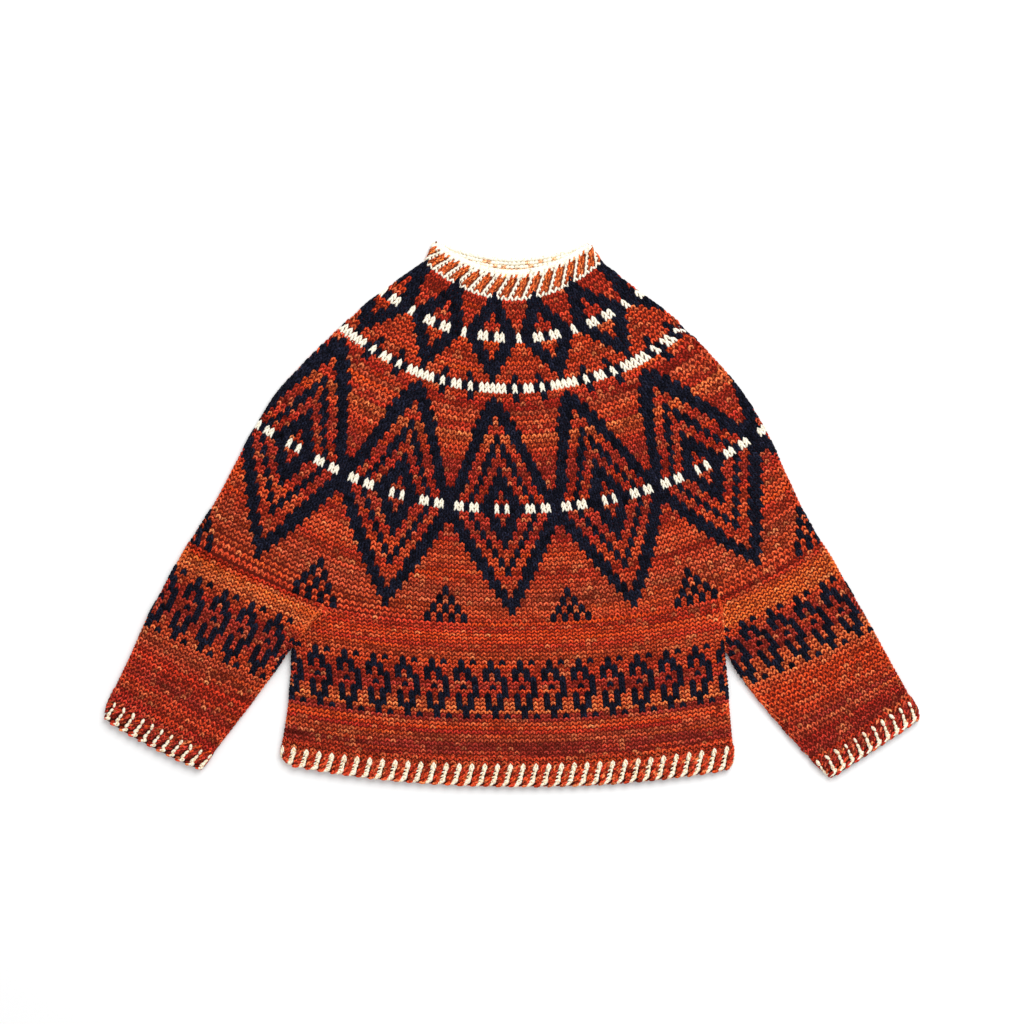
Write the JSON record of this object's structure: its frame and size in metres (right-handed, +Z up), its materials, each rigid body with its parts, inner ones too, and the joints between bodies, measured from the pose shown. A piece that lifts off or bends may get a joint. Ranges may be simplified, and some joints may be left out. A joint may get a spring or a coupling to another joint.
{
  "type": "crochet sweater",
  "caption": "Round-yoke crochet pullover laid flat, with ribbed neck, cuffs and hem and a geometric colourwork yoke.",
  "frame": {"origin": "middle of the bounding box at its underside, on the surface that the garment lies on", "axes": "+X to the right and +Y to the neck as the garment lies face up, +Z up off the surface"},
  "size_m": [0.9344, 0.6266, 0.0182],
  "materials": {
    "wool_ground": "matt worsted wool crochet in bands of rust, brick and orange, with near-black and cream motifs",
    "wool_rib": "matt worsted wool ribbing in rust with cream columns"
  },
  "bodies": {
    "root": {"neckband": "wool_rib", "yoke": "wool_ground", "body": "wool_ground", "hem_band": "wool_rib", "sleeve_left": "wool_ground", "sleeve_right": "wool_ground", "cuff_left": "wool_rib", "cuff_right": "wool_rib"}
  },
  "joints": []
}
